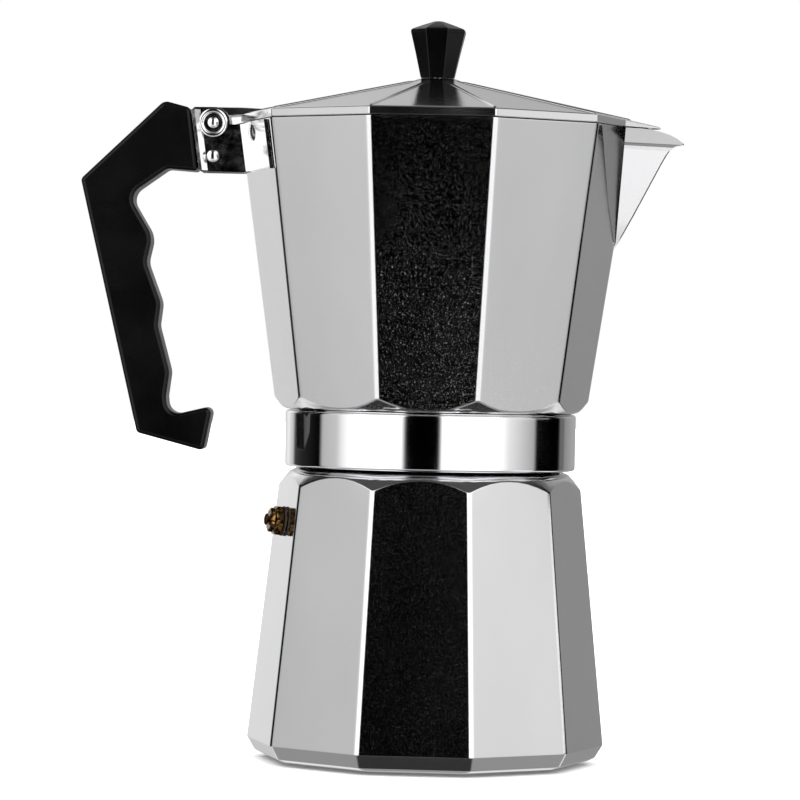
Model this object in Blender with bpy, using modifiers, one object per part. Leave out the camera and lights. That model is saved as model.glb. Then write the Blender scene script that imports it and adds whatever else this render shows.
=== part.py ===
"""A ten-sided stove-top moka pot of about nine cups, as an assembly of separate pieces.

Units: Blender metres, +Z up. The origin is the middle of the flat base, on the pot's own axis.
The spout points along +X and the handle along -X. Lengths in this file are in millimetres, and
each helper multiplies them by MM as it makes a mesh.
"""

import math

import bmesh
import bpy
from mathutils import Matrix, Vector

MM = 0.001
SIDES = 10
ROUND_STEPS = 40
SMALL_STEPS = 16
GAP = 0.3
HALF_SIDE = math.radians(180 / SIDES)

# Boiler: corner radii are measured at the vertical edges, not at the flats.
BOILER_TAPER = 0.107
BOILER_TOP_Z = 90.5
BOILER_TOP_CORNER_R = 50.6
BOILER_TURN = math.radians(-2)
FOOT_TOP_Z = 6.3
NECK_R = 41.5
NECK_BORE_R = 38.0
NECK_TOP_Z = 108.0
THREAD_PITCH = 4.0
THREAD_TURNS = 1.75
THREAD_BOTTOM_Z = 99.6
THREAD_WIRE_R = 0.75

# Upper chamber
COLLAR_R = 48.3
COLLAR_BORE_R = 43.7
COLLAR_BOTTOM_Z = 97.2
COLLAR_TOP_Z = 115.8
SEAT_Z = 113.3
JUG_TAPER = 0.145
JUG_BOTTOM_Z = 120.5
JUG_BOTTOM_CORNER_R = 52.5
RIM_Z = 211.0
WALL = 2.6
RISER_TOP_Z = 187.0
RISER_BORE_R = 4.6
OUTLET_Z = 176.0

# Spout: the point where its keel leaves the wall, and how wide it opens at the rim.
SPOUT_ROOT_X = 60.5
SPOUT_ROOT_Z = 172.8
SPOUT_RIM_X = 62.6
SPOUT_HALF_WIDTH = 14.5
SPOUT_WALL = 1.8
SPOUT_TIP_X = 82.9

# Lid
LID_BOTTOM_Z = RIM_Z + GAP
LID_EDGE_Z = 214.0
LID_CORNER_R = 65.3
LID_TIP_X = 74.8
LID_RISE = 0.2067
LID_WALL = 1.8
KNOB_PAD_R = 6.5

# Hinge, bracket and handle
HINGE_X = -74.1
HINGE_Z = 210.6
HANDLE_PIN_X = -74.0
HANDLE_PIN_Z = 199.5
LUG_R = 5.3
LUG_HALF_WIDTH = 4.3
CHEEK_INNER_Y = 4.7
CHEEK_OUTER_Y = 5.9
BRACKET_BOTTOM_X = -78.4
BRACKET_BOTTOM_Z = 194.2
BRACKET_TOP_X = -81.3
BRACKET_TOP_Z = 215.7
SADDLE_TOP_Z = 210.5
SADDLE_HALF_WIDTH = 36.0
SADDLE_THICKNESS = 1.2
WING_RIVET_Z = 207.0
HANDLE_HALF_WIDTH = 7.5
PIN_R = 1.5
PIN_HOLE_R = 1.8

# Knob
KNOB_BOTTOM_Z = 226.9
KNOB_WIDE_Z = 242.4
KNOB_TOP_Z = 246.0
KNOB_BOTTOM_R = 6.1
KNOB_WIDE_R = 9.8
KNOB_TURN = math.radians(20.5)
SCREW_R = 2.0

# Safety valve, on the boiler side between the handle and the front
VALVE_Z = 79.0
VALVE_AZIMUTH = math.radians(198) + BOILER_TURN

# Funnel and filters
BASKET_R = 36.8
FUNNEL_FLANGE_R = 41.2
FUNNEL_SHEET = 0.8
STEM_BOTTOM_Z = 9.0

COLOURS = {
    "satin_aluminium": ((0.62, 0.62, 0.63), 0.28, 1.0),
    "polished_aluminium": ((0.80, 0.80, 0.81), 0.12, 1.0),
    "bright_steel": ((0.72, 0.72, 0.72), 0.14, 1.0),
    "black_plastic": ((0.012, 0.012, 0.013), 0.38, 0.0),
    "brass": ((0.62, 0.42, 0.17), 0.25, 1.0),
    "white_rubber": ((0.78, 0.76, 0.70), 0.6, 0.0),
}

for old in list(bpy.data.objects):
    bpy.data.objects.remove(old, do_unlink=True)

parts = bpy.data.collections.new("moka_pot")
cutters = bpy.data.collections.new("cutters")
bpy.context.scene.collection.children.link(parts)
bpy.context.scene.collection.children.link(cutters)
cutters.hide_render = True


def material_for(name, look):
    colour, roughness, metallic = COLOURS[look]
    material = bpy.data.materials.new(name)
    material.use_nodes = True
    shader = material.node_tree.nodes["Principled BSDF"]
    shader.inputs["Base Color"].default_value = (*colour, 1.0)
    shader.inputs["Roughness"].default_value = roughness
    shader.inputs["Metallic"].default_value = metallic
    return material


def object_from(name, mesh, look=None):
    """A part when a look is named, and otherwise a cutter."""
    obj = bpy.data.objects.new(name, mesh)
    if look:
        parts.objects.link(obj)
        mesh.materials.append(material_for(name, look))
    else:
        cutters.objects.link(obj)
        obj.hide_render = True
        obj.display_type = "WIRE"
    return obj


def mesh_from(bm, name):
    mesh = bpy.data.meshes.new(name)
    bmesh.ops.recalc_face_normals(bm, faces=bm.faces)
    bm.to_mesh(mesh)
    bm.free()
    return mesh


def turned(name, profile, look=None, steps=ROUND_STEPS, closed=False):
    """Turns (radius, z) points about Z. The points run down the outer side."""
    mesh = bpy.data.meshes.new(name)
    points = [(r * MM, 0.0, z * MM) for r, z in profile]
    edges = [(i, i + 1) for i in range(len(points) - 1)]
    if closed:
        edges.append((len(points) - 1, 0))
    mesh.from_pydata(points, edges, [])
    obj = object_from(name, mesh, look)
    screw = obj.modifiers.new("Turn", "SCREW")
    screw.axis = "Z"
    screw.angle = math.tau
    screw.steps = steps
    screw.render_steps = steps
    screw.use_merge_vertices = True
    screw.merge_threshold = 0.00001
    return obj


def box(name, low, high):
    """A box between two corners, as a cutter or a piece to join on."""
    bm = bmesh.new()
    bmesh.ops.create_cube(bm, size=1.0)
    low, high = Vector(low) * MM, Vector(high) * MM
    bmesh.ops.scale(bm, vec=high - low, verts=bm.verts)
    bmesh.ops.translate(bm, vec=(low + high) / 2, verts=bm.verts)
    return object_from(name, mesh_from(bm, name))


def prism(name, sides, low_z, low_r, high_z, high_r, turn=0.0, look=None):
    """A frustum with its first corner at +X, turned by an angle about Z."""
    bm = bmesh.new()
    bmesh.ops.create_cone(
        bm,
        cap_ends=True,
        segments=sides,
        radius1=low_r * MM,
        radius2=high_r * MM,
        depth=(high_z - low_z) * MM,
    )
    place = Matrix.Translation((0, 0, (low_z + high_z) / 2 * MM))
    bmesh.ops.transform(bm, matrix=place @ Matrix.Rotation(turn - math.pi / 2, 4, "Z"), verts=bm.verts)
    return object_from(name, mesh_from(bm, name), look)


def rod(name, start, end, radius):
    """A plain cylinder between two points, as a cutter."""
    start, end = Vector(start) * MM, Vector(end) * MM
    along = end - start
    bm = bmesh.new()
    bmesh.ops.create_cone(
        bm,
        cap_ends=True,
        segments=SMALL_STEPS,
        radius1=radius * MM,
        radius2=radius * MM,
        depth=along.length,
    )
    turn = along.to_track_quat("Z", "Y").to_matrix().to_4x4()
    bmesh.ops.transform(bm, matrix=Matrix.Translation((start + end) / 2) @ turn, verts=bm.verts)
    return object_from(name, mesh_from(bm, name))


def cross_hole(name, x, z):
    """The hole for a pin along Y."""
    return rod(name, (x, -12, z), (x, 12, z), PIN_HOLE_R)


def loft(name, rings, look=None):
    """Joins rings of equal count with quads, and closes both ends with a face."""
    bm = bmesh.new()
    loops = [[bm.verts.new(Vector(p) * MM) for p in ring] for ring in rings]
    for lower, upper in zip(loops, loops[1:]):
        for i in range(len(lower)):
            j = (i + 1) % len(lower)
            bm.faces.new((lower[i], lower[j], upper[j], upper[i]))
    bm.faces.new(loops[0])
    bm.faces.new(loops[-1])
    return object_from(name, mesh_from(bm, name), look)


def arc_corner(before, corner, after, radius, steps):
    """The points of an arc of this radius that rounds one corner of an outline."""
    a = (Vector(before) - Vector(corner)).normalized()
    b = (Vector(after) - Vector(corner)).normalized()
    half = a.angle(b) / 2
    inset = radius / math.tan(half)
    centre = Vector(corner) + (a + b).normalized() * (radius / math.sin(half))
    first = Vector(corner) + a * inset - centre
    last = Vector(corner) + b * inset - centre
    sweep = first.angle_signed(last)
    return [
        tuple(centre + Matrix.Rotation(-sweep * k / steps, 2) @ first) for k in range(steps + 1)
    ]


def rounded_outline(corners, steps=4):
    """Corners are (x, z, radius), and a radius of 0 leaves the corner sharp."""
    points = []
    for i, (x, z, radius) in enumerate(corners):
        before = corners[i - 1][:2]
        after = corners[(i + 1) % len(corners)][:2]
        if radius:
            points += arc_corner(before, (x, z), after, radius, steps)
        else:
            points.append((x, z))
    return points


def plate_xz(name, outline, low_y, high_y, look=None):
    """A flat outline in X and Z with a thickness along Y, as a mesh."""
    curve = bpy.data.curves.new(name, "CURVE")
    curve.dimensions = "2D"
    curve.fill_mode = "BOTH"
    curve.extrude = (high_y - low_y) / 2 * MM
    spline = curve.splines.new("POLY")
    spline.points.add(len(outline) - 1)
    for point, (x, z) in zip(spline.points, outline):
        point.co = (x * MM, z * MM, 0, 1)
    spline.use_cyclic_u = True
    guide = bpy.data.objects.new(name + "_outline", curve)
    cutters.objects.link(guide)
    bpy.context.view_layer.update()
    mesh = bpy.data.meshes.new_from_object(guide.evaluated_get(bpy.context.evaluated_depsgraph_get()))
    bpy.data.objects.remove(guide, do_unlink=True)
    bm = bmesh.new()
    bm.from_mesh(mesh)
    bmesh.ops.remove_doubles(bm, verts=bm.verts, dist=0.00001)
    stand = Matrix.Translation((0, (low_y + high_y) / 2 * MM, 0)) @ Matrix.Rotation(math.pi / 2, 4, "X")
    bmesh.ops.transform(bm, matrix=stand, verts=bm.verts)
    return object_from(name, mesh_from(bm, name), look)


def helix(name, radius, bottom, turns, pitch, wire, steps_per_turn, look=None):
    """A round wire wound about Z, as a mesh with its ends capped and welded."""
    curve = bpy.data.curves.new(name, "CURVE")
    curve.dimensions = "3D"
    curve.bevel_depth = wire * MM
    curve.bevel_resolution = 1
    curve.use_fill_caps = True
    count = round(turns * steps_per_turn) + 1
    spline = curve.splines.new("POLY")
    spline.points.add(count - 1)
    for i, point in enumerate(spline.points):
        angle = math.tau * i / steps_per_turn
        height = bottom + pitch * i / steps_per_turn
        point.co = (radius * math.cos(angle) * MM, radius * math.sin(angle) * MM, height * MM, 1)
    guide = bpy.data.objects.new(name + "_path", curve)
    cutters.objects.link(guide)
    bpy.context.view_layer.update()
    mesh = bpy.data.meshes.new_from_object(guide.evaluated_get(bpy.context.evaluated_depsgraph_get()))
    bpy.data.objects.remove(guide, do_unlink=True)
    bm = bmesh.new()
    bm.from_mesh(mesh)
    bmesh.ops.remove_doubles(bm, verts=bm.verts, dist=0.00001)
    return object_from(name, mesh_from(bm, name), look)


def thread_ridge(name, radius):
    """One helical ridge of the screw joint. The ridges of the two sides don't touch."""
    return helix(name, radius, THREAD_BOTTOM_Z, THREAD_TURNS, THREAD_PITCH, THREAD_WIRE_R, 20)


def combine(obj, operation, other):
    """Adds an exact Boolean. The other object becomes a hidden helper."""
    boolean = obj.modifiers.new(operation.title(), "BOOLEAN")
    boolean.operation = operation
    boolean.solver = "EXACT"
    boolean.object = other


def shade_by_angle(obj, degrees=35):
    obj.data.shade_smooth()
    obj.data.set_sharp_from_angle(angle=math.radians(degrees))


def hang_from(obj, empty):
    """Parents an object modelled in world space without moving it."""
    obj.parent = empty
    obj.matrix_parent_inverse = empty.matrix_world.inverted()


def joint_empty(name, matrix):
    """An empty on a joint's axis, for the pieces that move with it."""
    empty = bpy.data.objects.new(name, None)
    parts.objects.link(empty)
    empty.matrix_world = matrix
    bpy.context.view_layer.update()
    return empty


def jug_corner_r(z):
    return JUG_BOTTOM_CORNER_R + (z - JUG_BOTTOM_Z) * JUG_TAPER


def boiler_corner_r(z):
    return BOILER_TOP_CORNER_R + (BOILER_TOP_Z - z) * BOILER_TAPER


def jug_frustum(name, low_z, high_z, outward=0.0, look=None):
    """The jug's ten-sided shape, with its flats moved outward by this much."""
    shift = outward / math.cos(HALF_SIDE)
    low_r, high_r = jug_corner_r(low_z) + shift, jug_corner_r(high_z) + shift
    return prism(name, SIDES, low_z, low_r, high_z, high_r, 0, look)


def hole_grid(radius, spacing):
    """Points of a triangular grid that lie inside a circle."""
    reach = int(radius / spacing) + 1
    rows = range(-reach, reach + 1)
    points = [((i + j / 2) * spacing, j * spacing * math.sqrt(3) / 2) for i in rows for j in rows]
    return [p for p in points if math.hypot(*p) <= radius]


def hole_cutter(name, points, radius, low_z, high_z):
    """Six-sided pegs in one mesh, for the holes of a filter."""
    bm = bmesh.new()
    for x, y in points:
        bmesh.ops.create_cone(
            bm,
            cap_ends=True,
            segments=6,
            radius1=radius * MM,
            radius2=radius * MM,
            depth=(high_z - low_z) * MM,
            matrix=Matrix.Translation((x * MM, y * MM, (low_z + high_z) / 2 * MM)),
        )
    return object_from(name, mesh_from(bm, name))


def valve_frame():
    """A frame on the boiler's flat with +Z pointing straight out of it."""
    flat_r = boiler_corner_r(VALVE_Z) * math.cos(HALF_SIDE)
    tilt = math.atan(BOILER_TAPER * math.cos(HALF_SIDE))
    place = Matrix.Rotation(VALVE_AZIMUTH, 4, "Z") @ Matrix.Translation((flat_r * MM, 0, VALVE_Z * MM))
    return place @ Matrix.Rotation(math.pi / 2 - tilt, 4, "Y")


def make_boiler():
    rows = [
        (48.5, 0.0),
        (54.6, 0.9),
        (56.8, 1.9),
        (boiler_corner_r(FOOT_TOP_Z), FOOT_TOP_Z),
        (boiler_corner_r(NECK_TOP_Z + 4), NECK_TOP_Z + 4),
    ]
    angles = [BOILER_TURN + math.tau * k / SIDES for k in range(SIDES)]
    rings = [[(r * math.cos(a), r * math.sin(a), z) for a in angles] for r, z in rows]
    boiler = loft("boiler", rings, "satin_aluminium")
    outside = [
        (0, NECK_TOP_Z),
        (NECK_R - 0.6, NECK_TOP_Z),
        (NECK_R, NECK_TOP_Z - 0.6),
        (NECK_R, 96.9),
        (45.2, 96.5),
        (46.4, 95.8),
        (48.1, 93.8),
        (BOILER_TOP_CORNER_R, BOILER_TOP_Z),
        (56.0, 83.3),
        (65.0, 60.0),
        (65.0, -5.0),
        (0, -5.0),
    ]
    combine(boiler, "INTERSECT", turned("boiler_outside", outside))
    combine(boiler, "UNION", thread_ridge("neck_thread", NECK_R))
    inside = [
        (0, NECK_TOP_Z + 2),
        (NECK_BORE_R, NECK_TOP_Z + 2),
        (NECK_BORE_R, 97.0),
        (44.3, 90.0),
        (52.4, 9.0),
        (51.2, 6.0),
        (48.5, 4.6),
        (0, 4.6),
    ]
    combine(boiler, "DIFFERENCE", turned("boiler_inside", inside))
    hole = turned("valve_hole", [(0, 6), (3.7, 6), (3.7, -9), (0, -9)], steps=SMALL_STEPS)
    hole.matrix_world = valve_frame()
    combine(boiler, "DIFFERENCE", hole)


def make_valve():
    """The over-pressure valve: a sprung stem that lifts outward through a brass body."""
    frame = joint_empty("valve_axis", valve_frame())
    ring = [(4.9, 0.9), (4.9, GAP), (3.9, GAP), (3.9, 0.9)]
    seal = turned("valve_seal", ring, "white_rubber", SMALL_STEPS, True)
    body = prism("valve_body", 6, 1.2, 5.5, 3.6, 5.5, math.radians(30), "brass")
    shank = turned("valve_shank", [(0, 2), (3.4, 2), (3.4, -6.5), (0, -6.5)], steps=SMALL_STEPS)
    bore = [(0, 5), (2.4, 5), (2.4, -4.5), (1.2, -4.5), (1.2, -7), (0, -7)]
    bore = turned("valve_bore", bore, steps=SMALL_STEPS)
    combine(body, "UNION", shank)
    combine(body, "DIFFERENCE", bore)
    cap = [(3.6, 5.4), (4.1, 5.0), (4.1, 3.9), (1.2, 3.9), (1.2, 5.4)]
    cap = turned("valve_cap", cap, "brass", SMALL_STEPS, True)
    for k in range(4):
        notch = box(f"valve_cap_notch_{k}", (3.2, -0.6, 4.5), (5.0, 0.6, 7.0))
        notch.parent = frame
        notch.rotation_euler.z = math.radians(45 + 90 * k)
        combine(cap, "DIFFERENCE", notch)
    stem = [
        (0, 6.9),
        (1.3, 6.8),
        (2.0, 6.4),
        (2.0, 5.8),
        (0.9, 5.7),
        (0.9, -3.2),
        (2.1, -3.2),
        (2.1, -4.2),
        (0, -4.2),
    ]
    stem = turned("valve_stem", stem, "brass", 16)
    spring = helix("valve_spring", 1.6, -2.6, 5, 1.15, 0.28, 10, "bright_steel")
    for piece in (seal, body, shank, bore, cap, stem, spring):
        piece.parent = frame


def make_funnel():
    sheet = FUNNEL_SHEET
    low, high = NECK_TOP_Z + GAP, NECK_TOP_Z + GAP + sheet
    floor, throat = 79.0, 66.0
    profile = [
        (FUNNEL_FLANGE_R, high),
        (FUNNEL_FLANGE_R, low),
        (BASKET_R, low),
        (BASKET_R, floor - sheet),
        (34.2, floor - sheet),
        (8.2, throat),
        (6.6, STEM_BOTTOM_Z),
        (5.8, STEM_BOTTOM_Z),
        (7.3, throat + 0.6),
        (33.6, floor),
        (BASKET_R - sheet, floor),
        (BASKET_R - sheet, high),
    ]
    turned("funnel", profile, "satin_aluminium", 40, True)
    disc_r = BASKET_R - sheet - GAP
    disc = turned(
        "funnel_filter_disc",
        [(0, floor + GAP + 0.8), (disc_r, floor + GAP + 0.8), (disc_r, floor + GAP), (0, floor + GAP)],
        "satin_aluminium",
        40,
    )
    holes = hole_cutter("disc_holes", hole_grid(27, 9.0), 1.2, floor - 2, floor + 4)
    combine(disc, "DIFFERENCE", holes)


def make_gasket_set():
    low = NECK_TOP_Z + GAP + FUNNEL_SHEET + GAP
    high = SEAT_Z - 2 * GAP - 0.7
    turned("gasket", [(43.3, high), (43.3, low), (33.4, low), (33.4, high)], "white_rubber", 40, True)
    bottom, top = high + GAP, SEAT_Z - GAP
    dome = 2.0
    plate = [
        (0, top + dome),
        (26, top + dome),
        (30, top),
        (42.6, top),
        (42.6, bottom),
        (30, bottom),
        (26, bottom + dome),
        (0, bottom + dome),
    ]
    plate = turned("filter_plate", plate, "bright_steel", 40)
    combine(plate, "DIFFERENCE", hole_cutter("plate_holes", hole_grid(23, 8.0), 1.0, bottom - 1, top + 4))


def spout_keel_x(z):
    """How far the spout reaches at this height: a straight keel that flicks out at the lip."""
    keel = [
        (60.0, 171.5),
        (62.8, 175.5),
        (73.2, 196.0),
        (77.3, 203.6),
        (79.6, 205.8),
        (SPOUT_TIP_X, 206.3),
        (84.0, 212.5),
    ]
    for (x0, z0), (x1, z1) in zip(keel, keel[1:]):
        if z <= z1:
            return x0 + (x1 - x0) * (z - z0) / (z1 - z0)
    return keel[-1][0]


def spout_solid(name, wall):
    """The spout as V-shaped sections between two flat cheeks, each moved inward by the wall."""
    corner = Vector((math.cos(2 * HALF_SIDE), math.sin(2 * HALF_SIDE))) * jug_corner_r(RIM_Z)
    inward = Vector((-math.cos(HALF_SIDE), -math.sin(HALF_SIDE)))
    cheek = corner + inward * 0.5 - Vector((SPOUT_RIM_X, SPOUT_HALF_WIDTH))
    rings = []
    for z in (168.0, 171.5, 175.5, 182.5, 189.8, 196.0, 200.0, 203.6, 205.8, 206.3, 212.5):
        share = max(0.0, (z - SPOUT_ROOT_Z) / (RIM_Z - SPOUT_ROOT_Z))
        keel_x = spout_keel_x(z) if z > 170 else 57.0
        crease_x = min(SPOUT_ROOT_X + (SPOUT_RIM_X - SPOUT_ROOT_X) * share, keel_x - 0.4)
        crease_y = 0.3 + (SPOUT_HALF_WIDTH - 0.3) * share
        flank = Vector((crease_x, crease_y)) + cheek * (0.05 + 0.95 * share) + inward * wall
        half_angle = math.atan2(crease_y, max(keel_x - crease_x, 0.5))
        keel_x -= wall / math.sin(max(half_angle, math.radians(30)))
        crease_y = max(crease_y - wall, 0.2)
        crease_x = min(crease_x, keel_x - 0.3) - wall * 0.3
        flank_x = min(flank.x, crease_x - 0.1)
        flank_y = max(flank.y, crease_y + 0.3)
        half = [(crease_x, crease_y), (flank_x, flank_y), (flank_x - 4.0, flank_y)]
        ring = [(keel_x, 0, z)]
        ring += [(x, y, z) for x, y in half]
        ring += [(x, -y, z) for x, y in reversed(half)]
        rings.append(ring)
    return loft(name, rings)


def make_jug():
    jug = jug_frustum("upper_chamber", 112.0, RIM_Z + 3, 0.0, "satin_aluminium")
    underside = [
        (0, 250),
        (90, 250),
        (90, 171.5),
        (JUG_BOTTOM_CORNER_R, JUG_BOTTOM_Z),
        (49.9, 117.0),
        (48.6, 116.3),
        (46.8, 116.1),
        (46.8, 110),
        (0, 110),
    ]
    combine(jug, "INTERSECT", turned("jug_underside", underside))
    combine(jug, "UNION", spout_solid("spout_outside", 0.0))
    above_rim = [
        (-90, RIM_Z),
        (68, RIM_Z),
        (74.2, 210.3),
        (77.5, 209.5),
        (80.1, 208.4),
        (SPOUT_TIP_X, 206.5),
        (90, 204.5),
        (90, 220),
        (-90, 220),
    ]
    combine(jug, "DIFFERENCE", plate_xz("above_rim", above_rim, -90, 90))
    combine(jug, "DIFFERENCE", jug_frustum("jug_inside", 121.5, 216.0, -WALL))
    combine(jug, "DIFFERENCE", spout_solid("spout_inside", SPOUT_WALL))
    core = [
        (0, RISER_TOP_Z),
        (4.0, RISER_TOP_Z - 0.6),
        (6.6, RISER_TOP_Z - 3.5),
        (8.0, 140.0),
        (9.0, 129.5),
        (12.5, 126.0),
        (49.0, 121.9),
        (49.0, 117.5),
        (46.5, 116.6),
        (46.5, COLLAR_TOP_Z),
        (COLLAR_R - 0.9, COLLAR_TOP_Z),
        (COLLAR_R, COLLAR_TOP_Z - 0.9),
        (COLLAR_R, COLLAR_BOTTOM_Z + 1.2),
        (COLLAR_R - 1.2, COLLAR_BOTTOM_Z),
        (0, COLLAR_BOTTOM_Z),
    ]
    combine(jug, "UNION", turned("jug_core", core))
    recess = [
        (0, RISER_TOP_Z - 5),
        (RISER_BORE_R, RISER_TOP_Z - 5),
        (RISER_BORE_R + 0.4, 124.0),
        (10.0, 121.0),
        (35.0, 117.8),
        (37.0, 116.6),
        (37.0, SEAT_Z),
        (COLLAR_BORE_R, SEAT_Z),
        (COLLAR_BORE_R, 90),
        (0, 90),
    ]
    combine(jug, "DIFFERENCE", turned("jug_recess", recess))
    combine(jug, "DIFFERENCE", box("outlet_slot", (-1.7, -12, OUTLET_Z - 4), (1.7, 12, OUTLET_Z + 4)))
    combine(jug, "UNION", thread_ridge("collar_thread", COLLAR_BORE_R))
    for side in (-1, 1):
        combine(jug, "DIFFERENCE", wing_rod(f"jug_rivet_hole_{side}", side, -8, 8, PIN_HOLE_R))


def wing_frame(side):
    """A frame on the jug's flat behind one wing of the bracket, +Z pointing out of it."""
    flat_r = jug_corner_r(WING_RIVET_Z) * math.cos(HALF_SIDE)
    tilt = math.atan(JUG_TAPER * math.cos(HALF_SIDE))
    turn = Matrix.Rotation(math.pi + side * HALF_SIDE, 4, "Z")
    place = Matrix.Translation((flat_r * MM, 0, WING_RIVET_Z * MM))
    return turn @ place @ Matrix.Rotation(math.pi / 2 + tilt, 4, "Y")


def wing_rod(name, side, low, high, radius):
    cutter = turned(name, [(0, high), (radius, high), (radius, low), (0, low)], steps=16)
    cutter.matrix_world = wing_frame(side)
    return cutter


def make_bracket():
    """A saddle over the jug's rear corner with two upright cheeks for the pins."""
    skin = GAP + SADDLE_THICKNESS
    bracket = jug_frustum("handle_bracket", 190, 216, skin, "bright_steel")
    saddle_box = box(
        "saddle_extent",
        (-90, -SADDLE_HALF_WIDTH, BRACKET_BOTTOM_Z + 0.3),
        (-40, SADDLE_HALF_WIDTH, SADDLE_TOP_Z),
    )
    combine(bracket, "INTERSECT", saddle_box)
    cheek = rounded_outline(
        [
            (BRACKET_BOTTOM_X + 0.2, BRACKET_BOTTOM_Z, 0),
            (-60.0, BRACKET_BOTTOM_Z, 0),
            (-61.0, SADDLE_TOP_Z - 0.4, 0),
            (-68.5, SADDLE_TOP_Z - 0.4, 0.3),
            (-68.5, BRACKET_TOP_Z + 0.2, 5.2),
            (BRACKET_TOP_X + 0.2, BRACKET_TOP_Z, 0.8),
        ]
    )
    for side in (-1, 1):
        inner, outer = sorted((side * CHEEK_INNER_Y, side * CHEEK_OUTER_Y))
        combine(bracket, "UNION", plate_xz(f"cheek_{side}", cheek, inner, outer))
        inner, outer = side * (CHEEK_OUTER_Y - 0.6), side * (HANDLE_HALF_WIDTH + 0.2)
        rings = []
        for x, z in ((BRACKET_BOTTOM_X, BRACKET_BOTTOM_Z + 0.5), (BRACKET_TOP_X, BRACKET_TOP_Z - 0.8)):
            rings.append([(x, inner, z), (x + 1.4, inner, z), (x + 1.4, outer, z), (x, outer, z)])
        combine(bracket, "UNION", loft(f"lip_{side}", rings))
    combine(bracket, "DIFFERENCE", jug_frustum("saddle_inside", 188, 218, GAP))
    for side in (-1, 1):
        combine(bracket, "DIFFERENCE", wing_rod(f"wing_hole_{side}", side, -8, 8, PIN_HOLE_R))
    combine(bracket, "DIFFERENCE", cross_hole("bracket_hinge_hole", HINGE_X, HINGE_Z))
    combine(bracket, "DIFFERENCE", cross_hole("bracket_handle_hole", HANDLE_PIN_X, HANDLE_PIN_Z))
    for side in (-1, 1):
        rivet = [
            (0, GAP + SADDLE_THICKNESS + 1.1),
            (2.2, GAP + SADDLE_THICKNESS + 0.8),
            (3.0, GAP + SADDLE_THICKNESS + GAP),
            (PIN_R, GAP + SADDLE_THICKNESS + GAP),
            (PIN_R, -WALL - GAP),
            (3.0, -WALL - GAP),
            (2.2, -WALL - 0.9),
            (0, -WALL - 1.1),
        ]
        number = 1 if side < 0 else 2
        turned(f"bracket_rivet_{number}", rivet, "bright_steel", 16).matrix_world = wing_frame(side)


def cross_pin(name, x, z, head_r):
    """A headed pin along Y through both cheeks of the bracket."""
    face = CHEEK_OUTER_Y + GAP
    crown = face + 1.2
    profile = [
        (0, crown),
        (head_r * 0.6, crown - 0.15),
        (head_r, face + 0.5),
        (head_r, face),
        (PIN_R, face),
        (PIN_R, -face),
        (head_r, -face),
        (head_r, -face - 0.5),
        (head_r * 0.6, 0.15 - crown),
        (0, -crown),
    ]
    pin = turned(name, profile, "bright_steel", SMALL_STEPS)
    pin.matrix_world = Matrix.Translation(Vector((x, 0, z)) * MM) @ Matrix.Rotation(math.pi / 2, 4, "X")


def make_handle():
    """Outline corners as (x, z, radius). The inner edge waves to suit three fingers."""
    outline = rounded_outline(
        [
            (BRACKET_BOTTOM_X - 0.35, BRACKET_BOTTOM_Z + 0.1, 0),
            (BRACKET_TOP_X - 0.35, BRACKET_TOP_Z - 0.3, 0),
            (-90.5, 217.6, 3.0),
            (-117.8, 191.2, 2.0),
            (-97.6, 107.2, 1.6),
            (-75.2, 101.5, 1.6),
            (-72.4, 116.6, 2.0),
            (-87.3, 112.9, 4.0),
            (-88.0, 119.4, 4.0),
            (-87.0, 127.6, 7.0),
            (-91.2, 142.8, 6.0),
            (-90.3, 150.4, 7.0),
            (-95.4, 163.8, 6.0),
            (-93.5, 172.4, 8.0),
            (-101.65, 185.9, 4.5),
            (-89.0, 195.0, 3.0),
        ],
        3,
    )
    handle = plate_xz("handle", outline, -HANDLE_HALF_WIDTH, HANDLE_HALF_WIDTH, "black_plastic")
    bevel = handle.modifiers.new("Edges", "BEVEL")
    bevel.width = 0.0012
    bevel.segments = 1
    bevel.limit_method = "ANGLE"
    bevel.angle_limit = math.radians(60)
    tongue_top = HINGE_Z - LUG_R - 0.6
    tongue = box(
        "handle_tongue",
        (-84.0, -LUG_HALF_WIDTH, 195.3),
        (-67.5, LUG_HALF_WIDTH, tongue_top),
    )
    combine(handle, "UNION", tongue)
    combine(handle, "DIFFERENCE", cross_hole("handle_pin_hole", HANDLE_PIN_X, HANDLE_PIN_Z))
    cross_pin("handle_pin", HANDLE_PIN_X, HANDLE_PIN_Z, 2.6)
    cross_pin("hinge_pin", HINGE_X, HINGE_Z, 2.6)


def lid_plan(inset):
    """The lid's edge seen from above: ten corners, with a point out over the spout."""
    corners = [(LID_TIP_X - 1.8 * inset, 0.0)]
    side = (SPOUT_RIM_X - 0.2 - inset, SPOUT_HALF_WIDTH - 0.2 - 0.5 * inset)
    corners.append(side)
    radius = LID_CORNER_R - inset / math.cos(HALF_SIDE)
    for k in range(1, SIDES):
        angle = math.tau * k / SIDES
        corners.append((radius * math.cos(angle), radius * math.sin(angle)))
    corners.append((side[0], -side[1]))
    return corners


def lid_top_z(x, y, drop=0.0):
    """The height of the ten-sided roof over a point."""
    reach = 0.0
    for k in range(SIDES):
        angle = math.tau * (k + 0.5) / SIDES
        reach = max(reach, x * math.cos(angle) + y * math.sin(angle))
    slope = LID_RISE / math.cos(HALF_SIDE)
    return LID_EDGE_Z + (LID_CORNER_R * math.cos(HALF_SIDE) - reach) * slope - drop


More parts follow.
